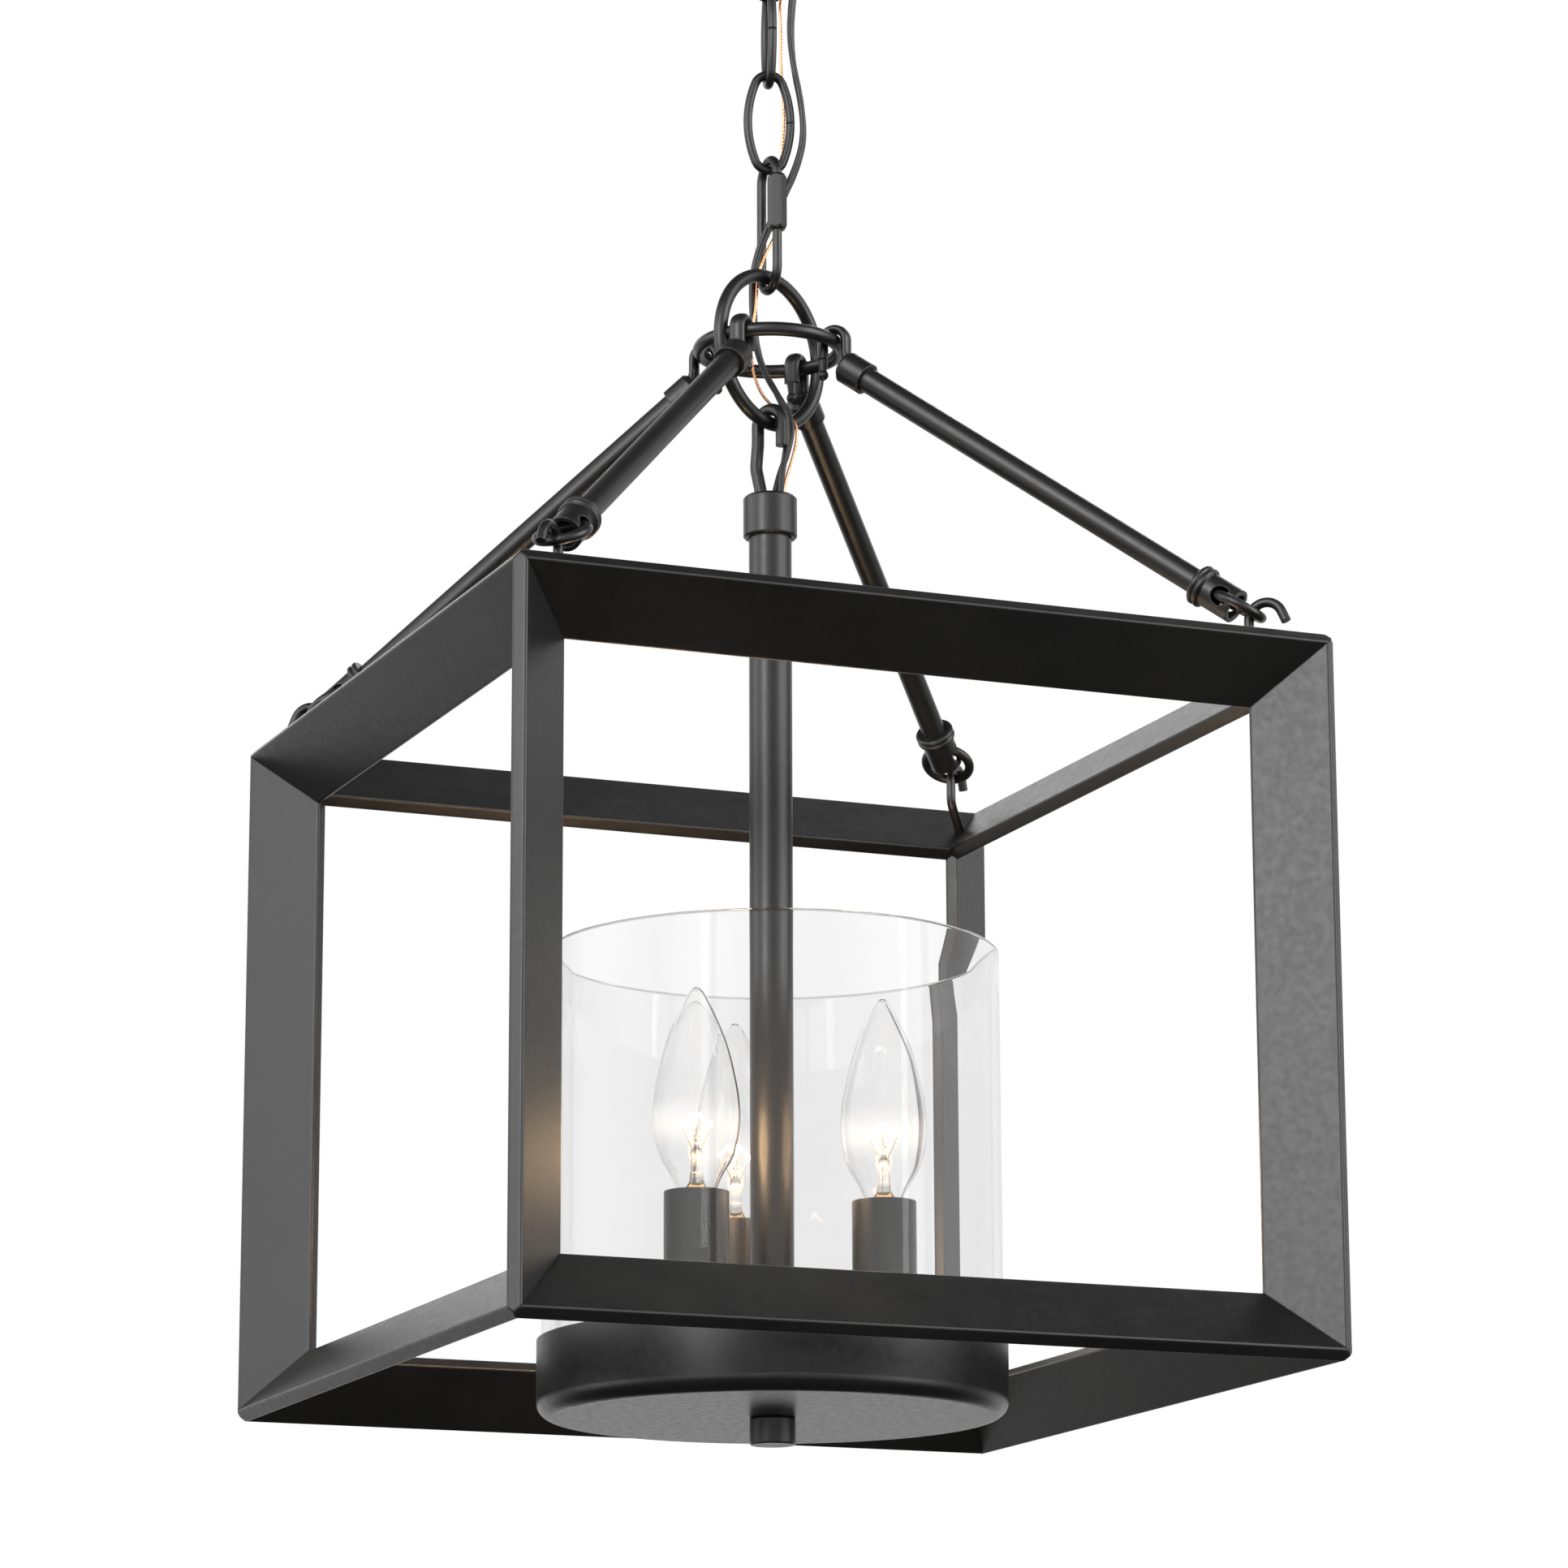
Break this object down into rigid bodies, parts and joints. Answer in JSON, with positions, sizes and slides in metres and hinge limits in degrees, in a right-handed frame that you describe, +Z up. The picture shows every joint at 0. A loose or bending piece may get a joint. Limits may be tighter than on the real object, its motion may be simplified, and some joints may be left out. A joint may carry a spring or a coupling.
{
  "type": "hanging lantern",
  "caption": "Hanging lantern: an open cuboid frame of flat bar hung by rods and rings from a chain, around a clear glass cylinder with candle lamps on a round pan",
  "frame": {"origin": "centre of the top face of the ceiling crossbar, midway between its two screw slots, in the plane of the ceiling", "axes": "+Z up, X along the crossbar and square to a side of the lantern frame, +Y away from the viewer"},
  "size_m": [0.3292, 0.3292, 0.6959],
  "materials": {
    "black_metal": "satin",
    "plated_steel": "satin",
    "socket_body": "matte",
    "clear_glass": "polished",
    "bulb_glass": "polished",
    "wire_jacket": "satin",
    "bare_copper": "satin"
  },
  "bodies": {
    "ceiling": {"crossbar": "plated_steel", "canopy_nipple": "plated_steel", "nipple_nuts": "plated_steel", "canopy": "black_metal", "collar_loop": "black_metal", "collar_ring": "black_metal", "lamp_wire_1": "wire_jacket", "lamp_wire_2": "wire_jacket", "earth_wire": "bare_copper"},
    "top_link": {"top_chain_link": "black_metal"},
    "upper_link": {"upper_chain_link": "black_metal"},
    "lower_link": {"lower_chain_link": "black_metal"},
    "quick_link": {"quick_link": "black_metal"},
    "sleeve": {"quick_link_sleeve": "black_metal"},
    "rings": {"level_ring": "black_metal", "upright_ring": "black_metal"},
    "stem": {"stem_tube": "black_metal", "stem_cap": "black_metal", "stem_hook": "black_metal", "pan": "black_metal", "socket_plate": "plated_steel", "stem_end_fitting": "plated_steel", "lampholders": "socket_body", "candle_covers": "black_metal"},
    "finial": {"finial": "black_metal"},
    "glass": {"glass": "clear_glass"},
    "bulb_1": {"bulb_1": "bulb_glass"},
    "bulb_2": {"bulb_2": "bulb_glass"},
    "bulb_3": {"bulb_3": "bulb_glass"},
    "frame": {"front_left_post": "black_metal", "front_right_post": "black_metal", "rear_right_post": "black_metal", "rear_left_post": "black_metal", "front_top_rail": "black_metal", "right_top_rail": "black_metal", "rear_top_rail": "black_metal", "left_top_rail": "black_metal", "front_bottom_rail": "black_metal", "right_bottom_rail": "black_metal", "rear_bottom_rail": "black_metal", "left_bottom_rail": "black_metal", "corner_hooks": "black_metal"},
    "front_left_rod": {"front_left_rod_tube": "black_metal", "front_left_hook_cap": "black_metal", "front_left_ferrule": "black_metal"},
    "front_left_ring": {"front_left_wire_ring": "black_metal"},
    "front_right_rod": {"front_right_rod_tube": "black_metal", "front_right_hook_cap": "black_metal", "front_right_ferrule": "black_metal"},
    "front_right_ring": {"front_right_wire_ring": "black_metal"},
    "rear_right_rod": {"rear_right_rod_tube": "black_metal", "rear_right_hook_cap": "black_metal", "rear_right_ferrule": "black_metal"},
    "rear_right_ring": {"rear_right_wire_ring": "black_metal"},
    "rear_left_rod": {"rear_left_rod_tube": "black_metal", "rear_left_hook_cap": "black_metal", "rear_left_ferrule": "black_metal"},
    "rear_left_ring": {"rear_left_wire_ring": "black_metal"}
  },
  "joints": [
    {"name": "top_link_swing", "type": "hinge", "parent": "ceiling", "child": "top_link", "pos_m": [0, 0, -0.0555], "axis": [0.2164, 0.9763, 0], "range_deg": [-25, 25], "deforming": ["lamp_wire_1", "lamp_wire_2", "earth_wire"]},
    {"name": "upper_link_swing", "type": "hinge", "parent": "top_link", "child": "upper_link", "pos_m": [0, 0, -0.0918], "axis": [0.9763, -0.2164, 0], "range_deg": [-25, 25]},
    {"name": "lower_link_twist", "type": "hinge", "parent": "upper_link", "child": "lower_link", "pos_m": [0, 0, -0.1288], "axis": [0, 0, 1], "range_deg": [-18, 18]},
    {"name": "quick_link_swing", "type": "hinge", "parent": "lower_link", "child": "quick_link", "pos_m": [0, 0, -0.1658], "axis": [0.9763, -0.2164, 0], "range_deg": [-25, 25]},
    {"name": "sleeve_slide", "type": "slide", "parent": "quick_link", "child": "sleeve", "axis": [0, 0, -1], "range_m": [0, 0.0125]},
    {"name": "rings_swing", "type": "hinge", "parent": "quick_link", "child": "rings", "pos_m": [0, 0, -0.2163], "axis": [0, -1, 0], "range_deg": [-15, 15]},
    {"name": "stem_swing", "type": "hinge", "parent": "rings", "child": "stem", "pos_m": [0, 0, -0.2723], "axis": [0.8805, 0.4741, 0], "range_deg": [-4, 4]},
    {"name": "frame_sway", "type": "hinge", "parent": "rings", "child": "frame", "pos_m": [0, 0, -0.2206], "axis": [0.7071, -0.7071, 0], "range_deg": [-2.5, 2.5]},
    {"name": "glass_lift", "type": "slide", "parent": "stem", "child": "glass", "axis": [0, 0, 1], "range_m": [0, 0.12]},
    {"name": "finial_turn", "type": "hinge", "parent": "stem", "child": "finial", "pos_m": [0, 0, -0.6747], "axis": [0, 0, -1], "continuous": true},
    {"name": "bulb_1_unscrew", "type": "slide", "parent": "stem", "child": "bulb_1", "axis": [0, 0, 1], "range_m": [0, 0.024]},
    {"name": "bulb_2_unscrew", "type": "slide", "parent": "stem", "child": "bulb_2", "axis": [0, 0, 1], "range_m": [0, 0.024]},
    {"name": "bulb_3_unscrew", "type": "slide", "parent": "stem", "child": "bulb_3", "axis": [0, 0, 1], "range_m": [0, 0.024]},
    {"name": "front_left_rod_swing", "type": "hinge", "parent": "rings", "child": "front_left_rod", "pos_m": [-0.0198, -0.0198, -0.2418], "axis": [0.7071, -0.7071, 0], "range_deg": [-3, 3]},
    {"name": "front_left_ring_swing", "type": "hinge", "parent": "front_left_rod", "child": "front_left_ring", "pos_m": [-0.13182, -0.13182, -0.36427], "axis": [0.7071, -0.7071, 0], "range_deg": [-2, 2]},
    {"name": "front_right_rod_swing", "type": "hinge", "parent": "rings", "child": "front_right_rod", "pos_m": [0.0198, -0.0198, -0.2418], "axis": [0.427, -0.427, 0.7971], "range_deg": [-3, 3]},
    {"name": "front_right_ring_swing", "type": "hinge", "parent": "front_right_rod", "child": "front_right_ring", "pos_m": [0.13182, -0.13182, -0.36427], "axis": [0.7071, 0.7071, 0], "range_deg": [-2, 2]},
    {"name": "rear_right_rod_swing", "type": "hinge", "parent": "rings", "child": "rear_right_rod", "pos_m": [0.0198, 0.0198, -0.2418], "axis": [0.7071, -0.7071, 0], "range_deg": [-3, 3]},
    {"name": "rear_right_ring_swing", "type": "hinge", "parent": "rear_right_rod", "child": "rear_right_ring", "pos_m": [0.13182, 0.13182, -0.36427], "axis": [-0.7071, 0.7071, 0], "range_deg": [-2, 2]},
    {"name": "rear_left_rod_swing", "type": "hinge", "parent": "rings", "child": "rear_left_rod", "pos_m": [-0.0198, 0.0198, -0.2418], "axis": [-0.427, 0.427, 0.7971], "range_deg": [-3, 3]},
    {"name": "rear_left_ring_swing", "type": "hinge", "parent": "rear_left_rod", "child": "rear_left_ring", "pos_m": [-0.13182, 0.13182, -0.36427], "axis": [-0.7071, -0.7071, 0], "range_deg": [-2, 2]}
  ],
  "couplings": [
    {"joint": "front_left_rod_swing", "follows": "frame_sway", "ratio": 1.16},
    {"joint": "front_right_rod_swing", "follows": "frame_sway", "ratio": 0.7008},
    {"joint": "rear_right_rod_swing", "follows": "frame_sway", "ratio": 1.16},
    {"joint": "rear_left_rod_swing", "follows": "frame_sway", "ratio": -0.7008}
  ]
}
